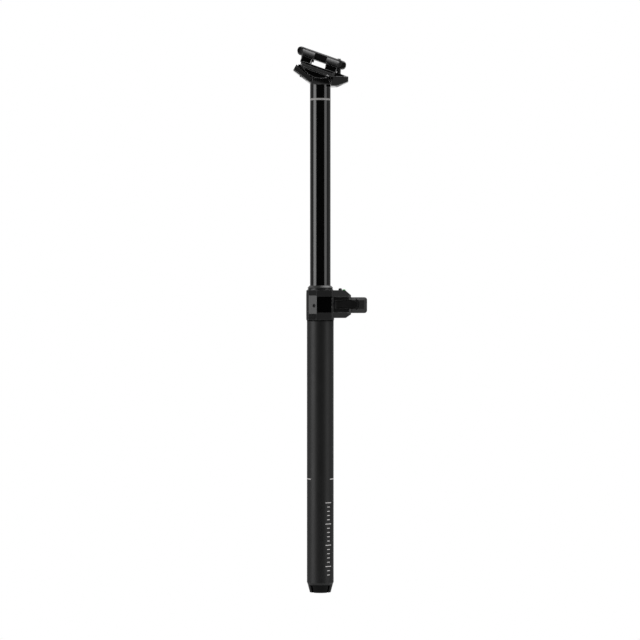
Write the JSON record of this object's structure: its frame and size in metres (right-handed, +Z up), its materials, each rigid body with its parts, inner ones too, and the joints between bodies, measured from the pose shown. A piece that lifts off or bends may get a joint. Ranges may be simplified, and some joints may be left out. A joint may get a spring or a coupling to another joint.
{
  "type": "dropper seatpost",
  "caption": "Telescoping bicycle seatpost with a two-bolt saddle clamp and a battery-powered release module on its collar.",
  "frame": {"origin": "on the post's axis, at the underside of the collar, where the tube leaves the frame", "axes": "+Z up along the post, +X to the front of the bicycle, +Y to its left"},
  "size_m": [0.087, 0.0588, 0.6436],
  "materials": {
    "satin_black": "satin anodised black",
    "gloss_black": "polished black coating",
    "forged_black": "semi-gloss anodised black",
    "clamp_grey": "bead-blasted dark anodised",
    "housing_black": "semi-gloss moulded black",
    "battery_black": "fine moulded texture",
    "button_black": "matt",
    "light_green": "clear green lens",
    "seal_black": "smooth rubber",
    "steel": "plain",
    "black_steel": "black oxide",
    "bare_aluminium": "machined",
    "bushing_bronze": "sintered",
    "brass": "machined",
    "board_green": "solder mask"
  },
  "bodies": {
    "lower_post": {"lower_tube": "satin_black", "foot_cap": "forged_black", "shaft_nut": "steel", "inner_shaft": "steel", "air_valve": "brass", "valve_cap": "seal_black", "piston": "bare_aluminium", "piston_ring": "seal_black", "collar": "forged_black", "bleed_screw": "black_steel", "wiper_seal": "seal_black", "upper_bushing": "bushing_bronze", "top_out_bumper": "seal_black", "module_housing": "housing_black", "housing_screws": "black_steel", "circuit_board": "board_green", "gear_motor": "steel", "battery_contacts": "brass", "led_window": "light_green", "latch_pin": "steel"},
    "upper_post": {"upper_tube": "gloss_black", "stop_ring": "steel", "seal_head": "bare_aluminium", "shaft_seal": "seal_black", "lower_bushing": "bushing_bronze", "guide_keys": "brass", "head": "forged_black"},
    "saddle_clamp": {"lower_cradle": "forged_black", "upper_clamp": "clamp_grey"},
    "rear_clamp_bolt": {"rear_bolt": "black_steel"},
    "front_clamp_bolt": {"front_bolt": "black_steel"},
    "rear_barrel_nut": {"rear_nut": "black_steel"},
    "front_barrel_nut": {"front_nut": "black_steel"},
    "latch": {"latch_lever": "housing_black"},
    "battery": {"battery_case": "battery_black", "battery_cover": "battery_black", "battery_terminals": "brass"},
    "button": {"power_button": "button_black"},
    "cam": {"drive_cam": "bushing_bronze"},
    "valve": {"valve_pin": "steel"}
  },
  "joints": [
    {"name": "post_drop", "type": "slide", "parent": "lower_post", "child": "upper_post", "axis": [0, 0, -1], "range_m": [0, 0.225], "stiffness_N_per_m": 200, "springref_m": -1},
    {"name": "clamp_tilt", "type": "hinge", "parent": "upper_post", "child": "saddle_clamp", "pos_m": [0.0008, 0, 0.309], "axis": [0, 1, 0], "range_deg": [-10, 4]},
    {"name": "rear_bolt_swivel", "type": "hinge", "parent": "upper_post", "child": "rear_clamp_bolt", "pos_m": [-0.02013, 0, 0.28786], "axis": [0, 1, 0], "range_deg": [-4, 4]},
    {"name": "front_bolt_swivel", "type": "hinge", "parent": "upper_post", "child": "front_clamp_bolt", "pos_m": [0.02193, 0, 0.2837], "axis": [0, 1, 0], "range_deg": [-4, 4]},
    {"name": "rear_nut_turn", "type": "hinge", "parent": "saddle_clamp", "child": "rear_barrel_nut", "pos_m": [-0.02013, 0, 0.31669], "axis": [0, 1, 0], "range_deg": [-15, 15]},
    {"name": "front_nut_turn", "type": "hinge", "parent": "saddle_clamp", "child": "front_barrel_nut", "pos_m": [0.02193, 0, 0.30188], "axis": [0, 1, 0], "range_deg": [-15, 15]},
    {"name": "latch_swing", "type": "hinge", "parent": "lower_post", "child": "latch", "pos_m": [0.02, -0.017, 0.0185], "axis": [0, 0, -1], "range_deg": [0, 80]},
    {"name": "battery_slide", "type": "slide", "parent": "lower_post", "child": "battery", "axis": [1, 0, 0], "range_m": [0, 0.0145]},
    {"name": "button_press", "type": "slide", "parent": "lower_post", "child": "button", "axis": [0, 0, -1], "range_m": [0, 0.0008], "stiffness_N_per_m": 1500, "springref_m": -0.0008},
    {"name": "cam_turn", "type": "hinge", "parent": "lower_post", "child": "cam", "pos_m": [0.0207, 0, 0.014], "axis": [0, 1, 0], "range_deg": [0, 90]},
    {"name": "valve_stroke", "type": "slide", "parent": "lower_post", "child": "valve", "axis": [-1, 0, 0], "range_m": [0, 0.0005]}
  ],
  "couplings": [
    {"joint": "rear_bolt_swivel", "follows": "clamp_tilt", "ratio": 0.245},
    {"joint": "front_bolt_swivel", "follows": "clamp_tilt", "ratio": -0.305},
    {"joint": "rear_nut_turn", "follows": "clamp_tilt", "ratio": -0.755},
    {"joint": "front_nut_turn", "follows": "clamp_tilt", "ratio": -1.305},
    {"joint": "latch_swing", "follows": "battery_slide", "rad_per_m": 96},
    {"joint": "valve_stroke", "follows": "cam_turn", "m_per_rad": 0.000318}
  ]
}
